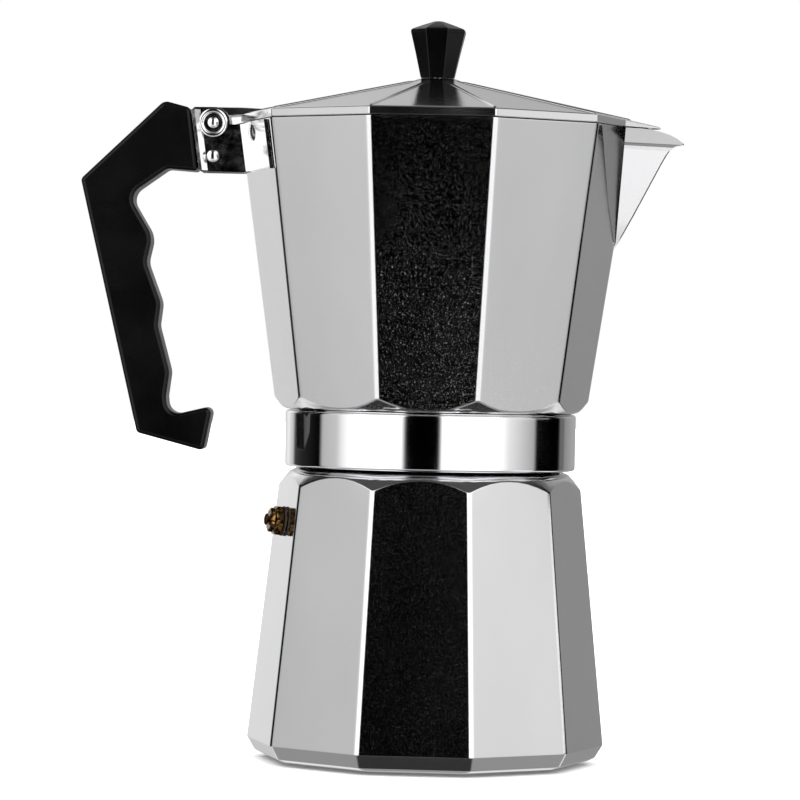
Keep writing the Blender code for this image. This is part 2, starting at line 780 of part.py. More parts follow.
def make_lid():
    hinge = joint_empty("lid_hinge_axis", Matrix.Translation(Vector((HINGE_X, 0, HINGE_Z)) * MM))
    pad_z = KNOB_BOTTOM_Z - GAP

    def pad(radius, z):
        directions = [math.atan2(y, x) for x, y in lid_plan(0)]
        return [(radius * math.cos(a), radius * math.sin(a), z) for a in directions]

    outer = lid_plan(0)
    inner = lid_plan(2.2)
    rings = [
        pad(KNOB_PAD_R, pad_z),
        [(x, y, lid_top_z(x, y)) for x, y in outer],
        [(x, y, LID_BOTTOM_Z) for x, y in outer],
        [(x, y, LID_BOTTOM_Z) for x, y in inner],
        [(x, y, max(lid_top_z(x, y, LID_WALL), LID_BOTTOM_Z + 0.05)) for x, y in inner],
        pad(KNOB_PAD_R + 2, pad_z - LID_WALL - 1.2),
    ]
    lid = loft("lid", rings, "polished_aluminium")
    lug = rounded_outline(
        [
            (-56.0, 213.6, 0),
            (-56.0, 215.6, 0),
            (-64.5, HINGE_Z + LUG_R + 0.1, 0),
            (HINGE_X - LUG_R, HINGE_Z + LUG_R, LUG_R - 0.01),
            (HINGE_X - LUG_R, HINGE_Z - LUG_R, LUG_R - 0.01),
            (HINGE_X + LUG_R, HINGE_Z - LUG_R, LUG_R - 0.01),
            (HINGE_X + LUG_R, 212.9, 0),
        ],
        5,
    )
    combine(lid, "UNION", plate_xz("lid_lug", lug, -LUG_HALF_WIDTH, LUG_HALF_WIDTH))
    combine(lid, "DIFFERENCE", cross_hole("lid_pin_hole", HINGE_X, HINGE_Z))
    combine(lid, "DIFFERENCE", rod("lid_screw_hole", (0, 0, 210), (0, 0, 235), SCREW_R + GAP))

    rings = []
    for radius, z in ((KNOB_BOTTOM_R, KNOB_BOTTOM_Z), (KNOB_WIDE_R, KNOB_WIDE_Z), (1.2, KNOB_TOP_Z)):
        angles = [KNOB_TURN + math.tau * k / 8 for k in range(8)]
        rings.append([(radius * math.cos(a), radius * math.sin(a), z) for a in angles])
    knob = loft("knob", rings, "black_plastic")
    combine(knob, "DIFFERENCE", rod("knob_hole", (0, 0, 220), (0, 0, KNOB_BOTTOM_Z + 10), SCREW_R + GAP))

    under = pad_z - LID_WALL - 1.2
    washer_top = under - GAP
    washer = turned(
        "knob_washer",
        [(5.0, washer_top), (5.0, washer_top - 0.8), (2.3, washer_top - 0.8), (2.3, washer_top)],
        "bright_steel",
        SMALL_STEPS,
        True,
    )
    head_top = washer_top - 0.8 - GAP
    screw = turned(
        "knob_screw",
        [
            (0, KNOB_BOTTOM_Z + 9),
            (SCREW_R, KNOB_BOTTOM_Z + 9),
            (SCREW_R, head_top),
            (3.6, head_top),
            (3.6, head_top - 1.2),
            (2.6, head_top - 2.2),
            (0, head_top - 2.4),
        ],
        "bright_steel",
        16,
    )
    combine(screw, "DIFFERENCE", box("screw_slot", (-4, -0.5, head_top - 3), (4, 0.5, head_top - 1.3)))
    for piece in (lid, knob, washer, screw):
        hang_from(piece, hinge)


make_boiler()
make_valve()
make_funnel()
make_gasket_set()
make_jug()
make_bracket()
make_handle()
make_lid()
bpy.context.view_layer.update()
for part in parts.objects:
    if part.type == "MESH":
        shade_by_angle(part)
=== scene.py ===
import math

import bmesh
import bpy
from mathutils import Matrix, Vector


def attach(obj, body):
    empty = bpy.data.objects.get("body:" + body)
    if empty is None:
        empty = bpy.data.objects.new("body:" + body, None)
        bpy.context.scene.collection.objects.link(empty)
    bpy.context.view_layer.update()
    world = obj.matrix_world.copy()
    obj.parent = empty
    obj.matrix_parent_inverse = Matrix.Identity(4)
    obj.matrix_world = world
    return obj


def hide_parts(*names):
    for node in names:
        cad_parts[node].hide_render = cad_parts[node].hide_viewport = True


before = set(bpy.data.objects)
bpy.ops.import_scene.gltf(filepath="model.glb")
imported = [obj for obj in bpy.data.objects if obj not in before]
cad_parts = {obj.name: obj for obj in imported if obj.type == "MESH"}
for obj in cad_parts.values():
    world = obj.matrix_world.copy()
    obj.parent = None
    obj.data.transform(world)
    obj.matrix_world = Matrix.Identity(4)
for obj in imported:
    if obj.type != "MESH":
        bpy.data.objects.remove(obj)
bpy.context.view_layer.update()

# All lengths below are in millimetres in the CAD frame, and MM turns them into metres.
MM = 0.001
SIDES = 10
HALF_SIDE = math.radians(180 / SIDES)
COS_HALF = math.cos(HALF_SIDE)
CORNER_STEPS = 6
FLAT_STEPS = 8
ROUND_STEPS = 144

BOILER_TAPER = 0.107
BOILER_TOP_Z = 90.5
BOILER_TOP_R = 50.6
BOILER_TURN = math.radians(-2)
CASTING_ROUND = 3.4
JUG_TAPER = 0.145
JUG_BOTTOM_Z = 120.5
JUG_BOTTOM_R = 52.5
RIM_Z = 211.0
WALL = 2.6
HINGE_X, HINGE_Z = -74.1, 210.6
PIN_X, PIN_Z = -74.0, 199.5
CHEEK_INNER_Y, CHEEK_OUTER_Y = 4.7, 5.9
BRACKET_BOTTOM_X, BRACKET_BOTTOM_Z = -78.4, 194.2
BRACKET_TOP_X, BRACKET_TOP_Z = -81.3, 215.7
WING_RIVET_Z = 207.0
KNOB_TURN = math.radians(20.5)
VALVE_TURN = math.radians(198) + BOILER_TURN
VALVE_Z = 79.0


# ---------------------------------------------------------------- mesh helpers


def new_object(name, mesh):
    obj = bpy.data.objects.new(name, mesh)
    bpy.context.scene.collection.objects.link(obj)
    return obj


def finish_mesh(bm, name):
    bmesh.ops.recalc_face_normals(bm, faces=bm.faces)
    mesh = bpy.data.meshes.new(name)
    bm.to_mesh(mesh)
    bm.free()
    return new_object(name, mesh)


def loft(name, rings, cap_first=True, cap_last=True, closed=False):
    """Quads between rings of equal count. A ring of one point closes the form in a fan."""
    bm = bmesh.new()
    loops = [[bm.verts.new(Vector(p) * MM) for p in ring] for ring in rings]
    pairs = list(zip(loops, loops[1:]))
    if closed:
        pairs.append((loops[-1], loops[0]))
    for lower, upper in pairs:
        count = max(len(lower), len(upper))
        for i in range(count):
            j = (i + 1) % count
            if len(lower) == 1:
                bm.faces.new((lower[0], upper[j], upper[i]))
            elif len(upper) == 1:
                bm.faces.new((lower[i], lower[j], upper[0]))
            else:
                bm.faces.new((lower[i], lower[j], upper[j], upper[i]))
    if not closed and cap_first and len(loops[0]) > 1:
        bm.faces.new(loops[0])
    if not closed and cap_last and len(loops[-1]) > 1:
        bm.faces.new(loops[-1])
    return finish_mesh(bm, name)


def circle(radius, z, steps=ROUND_STEPS):
    angles = [math.tau * k / steps for k in range(steps)]
    return [(radius * math.cos(a), radius * math.sin(a), z) for a in angles]


def turned(name, profile, steps=ROUND_STEPS, closed=False):
    """A turned form from (radius, z) points; a radius of 0 is a point on the axis."""
    rings = [[(0, 0, z)] if r == 0 else circle(r, z, steps) for r, z in profile]
    return loft(name, rings, closed=closed)


def arc(centre, radius, first, last, steps):
    """(r, z) points of an arc, angles in degrees from the outward direction."""
    angles = [math.radians(first + (last - first) * k / steps) for k in range(steps + 1)]
    return [(centre[0] + radius * math.cos(a), centre[1] + radius * math.sin(a)) for a in angles]


def arc_corner(before, corner, after, radius, steps):
    a = (Vector(before) - Vector(corner)).normalized()
    b = (Vector(after) - Vector(corner)).normalized()
    half = a.angle(b) / 2
    inset = radius / math.tan(half)
    centre = Vector(corner) + (a + b).normalized() * (radius / math.sin(half))
    first = Vector(corner) + a * inset - centre
    last = Vector(corner) + b * inset - centre
    sweep = first.angle_signed(last)
    return [
        tuple(centre + Matrix.Rotation(-sweep * k / steps, 2) @ first) for k in range(steps + 1)
    ]


def rounded_outline(corners, steps=8):
    """Corners are (x, z, radius), and a radius of 0 leaves the corner sharp."""
    points = []
    for i, (x, z, radius) in enumerate(corners):
        before = corners[i - 1][:2]
        after = corners[(i + 1) % len(corners)][:2]
        if radius:
            points += arc_corner(before, (x, z), after, radius, steps)
        else:
            points.append((x, z))
    return points


def plate_xz(name, outline, low_y, high_y):
    """A flat outline in X and Z with a thickness along Y."""
    bm = bmesh.new()
    near = [bm.verts.new(Vector((x, low_y, z)) * MM) for x, z in outline]
    far = [bm.verts.new(Vector((x, high_y, z)) * MM) for x, z in outline]
    for i in range(len(near)):
        j = (i + 1) % len(near)
        bm.faces.new((near[i], near[j], far[j], far[i]))
    bm.faces.new(near)
    bm.faces.new(far)
    return finish_mesh(bm, name)


def box(name, low, high):
    bm = bmesh.new()
    bmesh.ops.create_cube(bm, size=1.0)
    low, high = Vector(low) * MM, Vector(high) * MM
    bmesh.ops.scale(bm, vec=high - low, verts=bm.verts)
    bmesh.ops.translate(bm, vec=(low + high) / 2, verts=bm.verts)
    return finish_mesh(bm, name)


def helix_ridge(name, radius, bottom, turns, pitch, wire, steps=48, sides=8):
    """A round thread ridge about Z that fades in and out at its ends."""
    count = round(turns * steps)
    rings = []
    for i in range(count + 1):
        angle = math.tau * i / steps
        fade = min(1.0, min(i, count - i) / 8 + 0.05)
        height = bottom + pitch * i / steps
        ring = []
        for k in range(sides):
            turn = math.tau * k / sides
            r = radius + wire * fade * math.cos(turn)
            ring.append((r * math.cos(angle), r * math.sin(angle), height + wire * fade * math.sin(turn)))
        rings.append(ring)
    return loft(name, rings)


def apply_all(obj):
    """Turns an object's modifiers into its mesh."""
    bpy.context.view_layer.update()
    graph = bpy.context.evaluated_depsgraph_get()
    mesh = bpy.data.meshes.new_from_object(obj.evaluated_get(graph))
    obj.modifiers.clear()
    obj.data = mesh
    return obj


def combine(obj, operation, other):
    """A Boolean, applied at once; the other object is removed."""
    boolean = obj.modifiers.new(operation, "BOOLEAN")
    boolean.operation = operation
    boolean.solver = "EXACT"
    boolean.object = other
    apply_all(obj)
    bpy.data.objects.remove(other, do_unlink=True)
    return obj


def soften(obj, width, segments=2, angle=35):
    """Rounds the sharp edges."""
    bevel = obj.modifiers.new("Edges", "BEVEL")
    bevel.width = width * MM
    bevel.segments = segments
    bevel.limit_method = "ANGLE"
    bevel.angle_limit = math.radians(angle)
    bevel.miter_outer = "MITER_ARC"
    return apply_all(obj)


def shade(obj, degrees=32):
    obj.data.shade_smooth()
    obj.data.set_sharp_from_angle(angle=math.radians(degrees))
    weighted = obj.modifiers.new("Flat faces stay flat", "WEIGHTED_NORMAL")
    weighted.keep_sharp = True
    weighted.weight = 80
    return obj


def interpolate(points, z):
    """The radius of a (radius, z) profile at a height, its points in rising z."""
    for (r0, z0), (r1, z1) in zip(points, points[1:]):
        if z <= z1:
            return r0 + (r1 - r0) * (z - z0) / (z1 - z0)
    (r0, z0), (r1, z1) = points[-2:]
    return r0 + (r1 - r0) * (z - z0) / (z1 - z0)


# ---------------------------------------------------------------- material helpers


class Nodes:
    """A short way to write a material's node tree."""

    def __init__(self, name):
        self.material = bpy.data.materials.new(name)
        self.material.use_nodes = True
        self.tree = self.material.node_tree
        self.shader = self.tree.nodes["Principled BSDF"]
        coordinates = self.tree.nodes.new("ShaderNodeTexCoord")
        self.place = coordinates.outputs["Object"]

    def link(self, start, end):
        self.tree.links.new(start, end)

    def set(self, **values):
        for name, value in values.items():
            socket = self.shader.inputs[name.replace("_", " ")]
            socket.default_value = (*value, 1.0) if isinstance(value, tuple) else value

    def scaled(self, scale):
        mapping = self.tree.nodes.new("ShaderNodeMapping")
        mapping.inputs["Scale"].default_value = scale
        self.link(self.place, mapping.inputs["Vector"])
        return mapping.outputs["Vector"]

    def noise(self, scale, stretch=(1, 1, 1), detail=2.0, roughness=0.5):
        node = self.tree.nodes.new("ShaderNodeTexNoise")
        node.inputs["Scale"].default_value = scale
        node.inputs["Detail"].default_value = detail
        node.inputs["Roughness"].default_value = roughness
        self.link(self.scaled(stretch), node.inputs["Vector"])
        return node.outputs["Fac"]

    def rings(self, scale):
        """Lathe marks: noise that changes with the distance from the axis and with height."""
        split = self.tree.nodes.new("ShaderNodeSeparateXYZ")
        self.link(self.place, split.inputs[0])
        length = self.math("POWER", split.outputs[0], 2.0)
        other = self.math("POWER", split.outputs[1], 2.0)
        radius = self.math("SQRT", self.math("ADD", length, other))
        join = self.tree.nodes.new("ShaderNodeCombineXYZ")
        self.link(radius, join.inputs[0])
        self.link(split.outputs[2], join.inputs[2])
        node = self.tree.nodes.new("ShaderNodeTexNoise")
        node.inputs["Scale"].default_value = scale
        node.inputs["Detail"].default_value = 2.0
        self.link(join.outputs[0], node.inputs["Vector"])
        return node.outputs["Fac"]

    def math(self, operation, first, second=0.0):
        node = self.tree.nodes.new("ShaderNodeMath")
        node.operation = operation
        for socket, value in zip(node.inputs, (first, second)):
            if isinstance(value, (int, float)):
                socket.default_value = value
            else:
                self.link(value, socket)
        return node.outputs[0]

    def spread(self, value, low, high, from_low=0.3, from_high=0.7):
        node = self.tree.nodes.new("ShaderNodeMapRange")
        node.inputs["From Min"].default_value = from_low
        node.inputs["From Max"].default_value = from_high
        node.inputs["To Min"].default_value = low
        node.inputs["To Max"].default_value = high
        self.link(value, node.inputs["Value"])
        return node.outputs["Result"]

    def colours(self, value, low, high, from_low=0.3, from_high=0.7):
        ramp = self.tree.nodes.new("ShaderNodeValToRGB")
        ramp.color_ramp.elements[0].position = from_low
        ramp.color_ramp.elements[0].color = (*low, 1.0)
        ramp.color_ramp.elements[1].position = from_high
        ramp.color_ramp.elements[1].color = (*high, 1.0)
        self.link(value, ramp.inputs["Fac"])
        self.link(ramp.outputs["Color"], self.shader.inputs["Base Color"])

    def roughness(self, value):
        self.link(value, self.shader.inputs["Roughness"])

    def bump(self, height, distance, strength=1.0, below=None):
        node = self.tree.nodes.new("ShaderNodeBump")
        node.inputs["Strength"].default_value = strength
        node.inputs["Distance"].default_value = distance
        self.link(height, node.inputs["Height"])
        if below:
            self.link(below, node.inputs["Normal"])
        self.link(node.outputs["Normal"], self.shader.inputs["Normal"])
        return node.outputs["Normal"]


def satin_aluminium(name, speckle):
    """Vertical brushing on the flats, a fine grain, and tiny rougher specks."""
    n = Nodes(name)
    n.set(Metallic=1.0)
    brush = n.noise(1.0, (3600, 3600, 45), 3.0, 0.6)
    grain = n.noise(2300, (1, 1, 1), 2.0, 0.6)
    cloud = n.noise(28, (1, 1, 0.4), 3.0)
    n.colours(cloud, (0.74, 0.74, 0.75), (0.80, 0.80, 0.81))
    base = n.spread(n.math("ADD", brush, cloud), 0.07, 0.11, 0.7, 1.3)
    split = n.tree.nodes.new("ShaderNodeSeparateXYZ")
    n.link(n.place, split.inputs[0])
    worn = n.spread(split.outputs[2], speckle, speckle * 0.7, 0.125, 0.205)
    n.roughness(n.math("ADD", base, n.math("MULTIPLY", worn, n.spread(grain, 0.0, 1.0, 0.45, 0.75))))
    lines = n.bump(brush, 0.00002, 0.08)
    n.bump(grain, 0.00003, 0.06, lines)
    return n.material


def polished_aluminium(name, rough, tint):
    """Lathe or buffing marks and a few faint smudges."""
    n = Nodes(name)
    n.set(Metallic=1.0)
    marks = n.rings(2600)
    smudge = n.noise(45, (1, 1, 1), 4.0)
    n.colours(smudge, tuple(c * 0.96 for c in tint), tint)
    n.roughness(n.spread(smudge, rough * 0.8, rough * 1.35))
    n.bump(marks, 0.00001, 0.05)
    return n.material


def spun_metal(name, tint, rough):
    n = Nodes(name)
    n.set(Metallic=1.0)
    marks = n.rings(1900)
    stain = n.noise(60, (1, 1, 1), 4.0)
    n.colours(stain, tuple(c * 0.86 for c in tint), tint)
    n.roughness(n.spread(marks, rough * 0.8, rough * 1.3))
    n.bump(marks, 0.00003, 0.25)
    return n.material


def bright_steel():
    n = Nodes("bright_steel")
    n.set(Metallic=1.0)
    brush = n.noise(1.0, (900, 900, 90), 2.0)
    wear = n.noise(420, (1, 1, 1), 3.0)
    n.colours(wear, (0.84, 0.84, 0.85), (0.92, 0.92, 0.92))
    n.roughness(n.spread(wear, 0.08, 0.19))
    n.bump(brush, 0.00001, 0.06)
    return n.material


def black_plastic():
    """Moulded plastic with a faint pebble and slightly worn gloss."""
    n = Nodes("black_plastic")
    pebble = n.noise(2100, (1, 1, 1), 2.0)
    wear = n.noise(55, (1, 1, 1), 3.0)
    n.colours(wear, (0.0012, 0.0012, 0.0013), (0.0025, 0.0025, 0.0027))
    n.roughness(n.spread(wear, 0.22, 0.3))
    n.set(IOR=1.42, Specular_IOR_Level=0.3)
    n.bump(pebble, 0.00002, 0.08)
    return n.material


def aged_brass():
    n = Nodes("aged_brass")
    n.set(Metallic=1.0)
    tarnish = n.noise(650, (1, 1, 1), 4.0, 0.6)
    n.colours(tarnish, (0.03, 0.013, 0.004), (0.62, 0.36, 0.12), 0.46, 0.62)
    n.roughness(n.spread(tarnish, 0.3, 0.12))
    n.bump(tarnish, 0.00005, 0.3)
    return n.material


def rubber(name, low, high):
    n = Nodes(name)
    speck = n.noise(900, (1, 1, 1), 3.0)
    n.colours(speck, low, high)
    n.roughness(n.spread(speck, 0.5, 0.7))
    n.bump(speck, 0.00005, 0.3)
    return n.material


SATIN_UPPER = satin_aluminium("satin_aluminium", 0.22)
SATIN_LOWER = satin_aluminium("brushed_aluminium", 0.11)
COLLAR_POLISH = polished_aluminium("turned_collar", 0.07, (0.93, 0.93, 0.94))
LID_POLISH = polished_aluminium("polished_lid", 0.13, (0.82, 0.82, 0.83))
SPUN_ALUMINIUM = spun_metal("spun_aluminium", (0.74, 0.74, 0.75), 0.3)
SPUN_STEEL = spun_metal("spun_steel", (0.62, 0.62, 0.62), 0.22)
STEEL = bright_steel()
PLASTIC = black_plastic()
BRASS = aged_brass()
PALE_RUBBER = rubber("pale_rubber", (0.70, 0.68, 0.61), (0.80, 0.78, 0.72))
DARK_RUBBER = rubber("dark_rubber", (0.02, 0.012, 0.008), (0.05, 0.03, 0.02))


def piece(obj, body, slot, material, *nodes):
    """Gives a finished piece its material and its body, and hides the CAD nodes it stands for; the slot is
    not used.
    """
    obj.data.materials.clear()
    obj.data.materials.append(material)
    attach(obj, body)
    if nodes:
        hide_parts(*nodes)
    return obj


# ---------------------------------------------------------------- ten-sided castings


def decagon(apothem, rounding, z=None):
    """One section: ten flats whose corners are arcs. The first corner is at +X."""
    points = []
    centre_r = (apothem - rounding) / COS_HALF
    for k in range(SIDES):
        middle = math.tau * k / SIDES
        centre = Vector((math.cos(middle), math.sin(middle))) * centre_r
        turns = [-1.0 + 2.0 * i / CORNER_STEPS for i in range(CORNER_STEPS + 1)]
        bend = [
            centre + Vector((math.cos(middle + t * HALF_SIDE), math.sin(middle + t * HALF_SIDE))) * rounding
            for t in turns
        ]
        points += bend
        following = math.tau * (k + 1) / SIDES
        end = Vector((math.cos(following), math.sin(following))) * centre_r
        edge = Vector((math.cos(middle + HALF_SIDE), math.sin(middle + HALF_SIDE))) * rounding
        start, end = bend[-1], end + edge
        hold = 0.02
        shares = [hold] + [i / FLAT_STEPS for i in range(1, FLAT_STEPS)] + [1 - hold]
        points += [start.lerp(end, s) for s in shares]
    if z is None:
        return points
    return [(p.x, p.y, z) for p in points]


def at_radius(section, radius, z):
    """A round ring whose points keep the directions of a ten-sided section."""
    return [(p.x / p.length * radius, p.y / p.length * radius, z) for p in section]


def crossing(flat_section, profile, low, high, index):
    """The height where one column of the flats meets a turned profile."""
    for _ in range(30):
        middle = (low + high) / 2
        outside = flat_section(middle)[index].length - interpolate(profile, middle)
        below = flat_section(low)[index].length - interpolate(profile, low)
        if (outside > 0) == (below > 0):
            low = middle
        else:
            high = middle
    return (low + high) / 2


def boiler_ring(corner, z=None, rounding=CASTING_ROUND):
    """A ten-sided section of the boiler, which sits a little turned under the jug."""
    turn = Matrix.Rotation(BOILER_TURN, 2)
    points = [turn @ p for p in decagon(corner * COS_HALF, rounding)]
    if z is None:
        return points
    return [(p.x, p.y, z) for p in points]


def boiler_section(z):
    return boiler_ring(BOILER_TOP_R + (BOILER_TOP_Z - z) * BOILER_TAPER)


def jug_section(z, inset=0.0, rounding=CASTING_ROUND):
    corner = JUG_BOTTOM_R + (z - JUG_BOTTOM_Z) * JUG_TAPER
    return decagon(corner * COS_HALF - inset, rounding)


def flats_between(section, low_heights, high_heights, rows):
    """Rows of points on the flats, each column between its own two heights."""
    cache = {}

    def at(z):
        key = round(z, 3)
        if key not in cache:
            cache[key] = section(z)
        return cache[key]

    made = []
    for row in range(rows + 1):
        ring = []
        for k, (low, high) in enumerate(zip(low_heights, high_heights)):
            z = low + (high - low) * row / rows
            point = at(z)[k]
            ring.append((point.x, point.y, z))
        made.append(ring)
    return made


def turned_between(section, profile, low_heights, high_heights, rows):
    """Rows of points on a turned profile, each column between its own two heights."""
    made = []
    for row in range(rows + 1):
        ring = []
        for k, (low, high) in enumerate(zip(low_heights, high_heights)):
            z = low + (high - low) * row / rows
            direction = section[k].normalized()
            radius = interpolate(profile, z)
            ring.append((direction.x * radius, direction.y * radius, z))
        made.append(ring)
    return made


def column_crossings(section, profile, low, high):
    """Works out one side of one flat, and repeats it by symmetry."""
    count = len(section(low))
    per_side = count // SIDES
    first = [crossing(section, profile, low, high, k) for k in range(per_side)]
    return [first[k % per_side] for k in range(count)]


def make_boiler():
    plan = boiler_section(50.0)
    shoulder = [(53.4, 86.9), (50.6, 90.5), (48.1, 93.8), (46.6, 95.5), (45.7, 96.2), (44.6, 96.55)]
    high = column_crossings(boiler_section, shoulder, 87.0, 95.5)
    edge = 0.25
    rings = [[(0, 0, 0)], boiler_ring(30.0, 0.0, 1.0), boiler_ring(48.0, 0.0)]
    foot = [(48.5, 0.03), (49.2, 0.15), (54.1, 0.8), (54.7, 0.95), (56.6, 1.8), (57.05, 2.15)]
    foot += [(59.35, 5.9), (59.57, 6.3)]
    rings += [boiler_ring(r, z) for r, z in foot]
    low = [6.7] * len(plan)
    rings += flats_between(boiler_section, low, [z - edge for z in high], 12)
    tops = [96.6] * len(plan)
    rings += turned_between(plan, shoulder, [z + edge for z in high], tops, 5)
    neck = [(42.4, 96.75), (41.5, 97.2), (41.5, 107.3), (41.3, 107.8), (40.8, 108.0), (38.6, 108.0)]
    neck += [(38.1, 107.8), (38.0, 107.3), (38.0, 97.0), (40.5, 94.0), (44.3, 90.0), (48.5, 48.0)]
    neck += [(52.4, 9.0), (51.2, 6.0)]
    neck += [(48.5, 4.6), (25.0, 4.6)]
    rings += [at_radius(plan, r, z) for r, z in neck]
    rings.append([(0, 0, 4.6)])
    boiler = shade(loft("boiler_casting", rings), 24)
    piece(boiler, "boiler", "body_aluminium", SATIN_LOWER, "boiler")
    thread = shade(helix_ridge("neck_thread", 41.5, 99.6, 1.75, 4.0, 0.7))
    piece(thread, "boiler", "body_aluminium", SATIN_LOWER, "boiler")


def spout_keel_x(z):
    """The spout's keel: straight up from the root, then a lip that flicks out."""
    keel = [(56.0, 166.0), (60.0, 171.5), (61.3, 173.4), (62.8, 175.7), (66.2, 182.0), (73.2, 195.6)]
    keel += [(75.3, 199.7), (76.9, 202.6), (78.0, 204.2), (79.2, 205.3), (80.6, 205.9), (82.6, 206.3)]
    keel += [(83.6, 212.5)]
    return interpolate(keel, z)


def spout_solid(name, wall):
    """V-shaped sections with a rounded keel between two flat cheeks, moved inward by the wall."""
    corner_r = JUG_BOTTOM_R + (RIM_Z - JUG_BOTTOM_Z) * JUG_TAPER
    corner = Vector((math.cos(2 * HALF_SIDE), math.sin(2 * HALF_SIDE))) * corner_r
    inward = Vector((-math.cos(HALF_SIDE), -math.sin(HALF_SIDE)))
    rim_crease = Vector((62.6, 14.5))
    root = Vector((60.3, 0.0))
    cheek = corner + inward * 0.45 - rim_crease
    rings = []
    heights = [167.0, 171.5, 173.4, 175.7, 179.0, 182.0, 186.5, 191.0]
    heights += [195.6, 199.7, 202.6, 204.2, 205.3, 205.9, 206.3, 212.5]
    for z in heights:
        share = max(0.0, (z - 172.8) / (RIM_Z - 172.8))
        keel = Vector((spout_keel_x(z), 0.0))
        crease = root.lerp(rim_crease, share) + Vector((0, 0.3))
        crease.x = min(crease.x, keel.x - 0.5)
        flank = crease + cheek * (0.05 + 0.95 * share) + inward * wall
        slope = (keel - crease).normalized()
        outward = Vector((-slope.y, slope.x))
        if outward.x < 0:
            outward = -outward
        if wall:
            spread = wall / max(outward.x, 0.5)
            keel.x -= spread
            crease = crease - Vector((0.3, 0.9)) * wall
            crease.y = max(crease.y, 0.25)
            crease.x = min(crease.x, keel.x - 0.4)
            flank.x = min(flank.x, crease.x - 0.1)
            flank.y = max(flank.y, crease.y + 0.3)
        rounding = min(0.9, 0.3 * (keel - crease).length)
        nose = keel + (crease - keel).normalized() * rounding
        tip = Vector((keel.x - rounding * 0.35, 0.0))
        half = [nose, crease, flank, flank - Vector((4.0, 0))]
        ring = [(tip.x, 0, z)]
        ring += [(p.x, p.y, z) for p in half]
        ring += [(p.x, -p.y, z) for p in reversed(half)]
        rings.append(ring)
    return loft(name, rings)


def crease_spout(jug):
    """The spout's flanks leave the jug's flats at a slight angle, so their seams are marked sharp."""
    bm = bmesh.new()
    bm.from_mesh(jug.data)
    for edge in bm.edges:
        middle = (edge.verts[0].co + edge.verts[1].co) / 2
        near = middle.x > 48 * MM and middle.z > 168 * MM
        if near and len(edge.link_faces) == 2 and edge.calc_face_angle() > math.radians(5.2):
            edge.smooth = False
    bm.to_mesh(jug.data)
    bm.free()


def make_jug():
    plan = jug_section(150.0)
    inner_plan = jug_section(150.0, WALL, 1.6)
    underside = [(46.8, 116.0), (47.6, 116.15), (48.6, 116.45), (49.9, 117.3), (52.5, 120.6), (55.5, 124.6)]
    low = column_crossings(jug_section, underside, 116.2, 124.0)
    edge = 0.25
    rings = [[(0, 0, 182.0)]]
    riser = [(4.6, 182.0), (5.0, 124.0), (10.0, 121.8), (35.0, 118.8), (45.8, 116.8)]
    rings += [at_radius(plan, r, z) for r, z in riser]
    start = [116.0] * len(plan)
    rings += turned_between(plan, underside, start, [z - edge for z in low], 4)
    top = [RIM_Z - 0.45] * len(plan)
    rings += flats_between(jug_section, [z + edge for z in low], top, 14)
    rings.append([(p.x, p.y, RIM_Z - 0.12) for p in jug_section(RIM_Z, 0.12)])
    rings.append([(p.x, p.y, RIM_Z) for p in jug_section(RIM_Z, 0.45)])
    rings.append([(p.x, p.y, RIM_Z) for p in jug_section(RIM_Z, WALL - 0.45, 1.4)])
    rings.append([(p.x, p.y, RIM_Z - 0.4) for p in jug_section(RIM_Z, WALL, 1.6)])
    for z in (195.0, 175.0, 155.0, 135.0, 125.5):
        rings.append([(p.x, p.y, z) for p in jug_section(z, WALL, 1.6)])
    rings.append([(p.x, p.y, 123.4) for p in jug_section(124.0, WALL + 0.8, 2.4)])
    rings.append([(p.x, p.y, 122.4) for p in jug_section(123.0, WALL + 2.8, 4.0)])
    column = [(38.0, 123.2), (20.0, 125.0), (13.0, 126.2), (10.6, 127.6), (9.2, 129.8), (8.4, 134.0)]
    column += [(8.0, 141.0), (6.7, 183.2), (6.2, 185.2), (4.9, 186.5), (3.0, 186.9)]
    rings += [at_radius(inner_plan, r, z) for r, z in column]
    rings.append([(0, 0, 187.0)])
    jug = loft("jug_casting", rings)
    combine(jug, "UNION", spout_solid("spout_outside", 0.0))
    combine(jug, "DIFFERENCE", spout_solid("spout_inside", 1.8))
    above = [(40, RIM_Z + 0.02), (67.8, RIM_Z), (71.0, 210.8), (74.2, 210.3), (77.5, 209.4)]
    above += [(80.1, 208.2), (82.9, 206.2), (90, 202.0), (90, 222), (40, 222)]
    combine(jug, "DIFFERENCE", plate_xz("above_spout", above, -60, 60))
    combine(jug, "DIFFERENCE", box("outlet_slot", (-1.7, -12, 172), (1.7, 12, 180)))
    crease_spout(shade(jug, 13))
    piece(jug, "upper", "body_aluminium", SATIN_UPPER, "upper_chamber")

    profile = [(46.5, 116.6), (46.5, 115.85), (47.3, 115.82)]
    profile += arc((47.3, 114.8), 1.0, 80, 0, 5)
    profile += [(48.3, 113.5), (48.3, 107.0), (48.3, 99.0)]
    profile += arc((47.3, 98.2), 1.0, 0, -85, 6)
    profile += [(45.4, 97.2), (44.3, 97.25), (43.8, 97.6), (43.7, 98.3), (43.7, 113.3), (37.0, 113.3)]
    profile += [(37.0, 116.2), (35.0, 117.5), (10.0, 120.7), (5.6, 122.5), (5.2, 123.5), (10.0, 122.2)]
    profile += [(35.0, 119.2), (45.0, 117.2)]
    collar = shade(turned("jug_collar", profile, closed=True))
    piece(collar, "upper", "body_aluminium", COLLAR_POLISH, "upper_chamber")
    thread = shade(helix_ridge("collar_thread", 43.7, 99.6, 1.75, 4.0, 0.7))
    piece(thread, "upper", "body_aluminium", SATIN_UPPER, "upper_chamber")


# ---------------------------------------------------------------- lid and knob


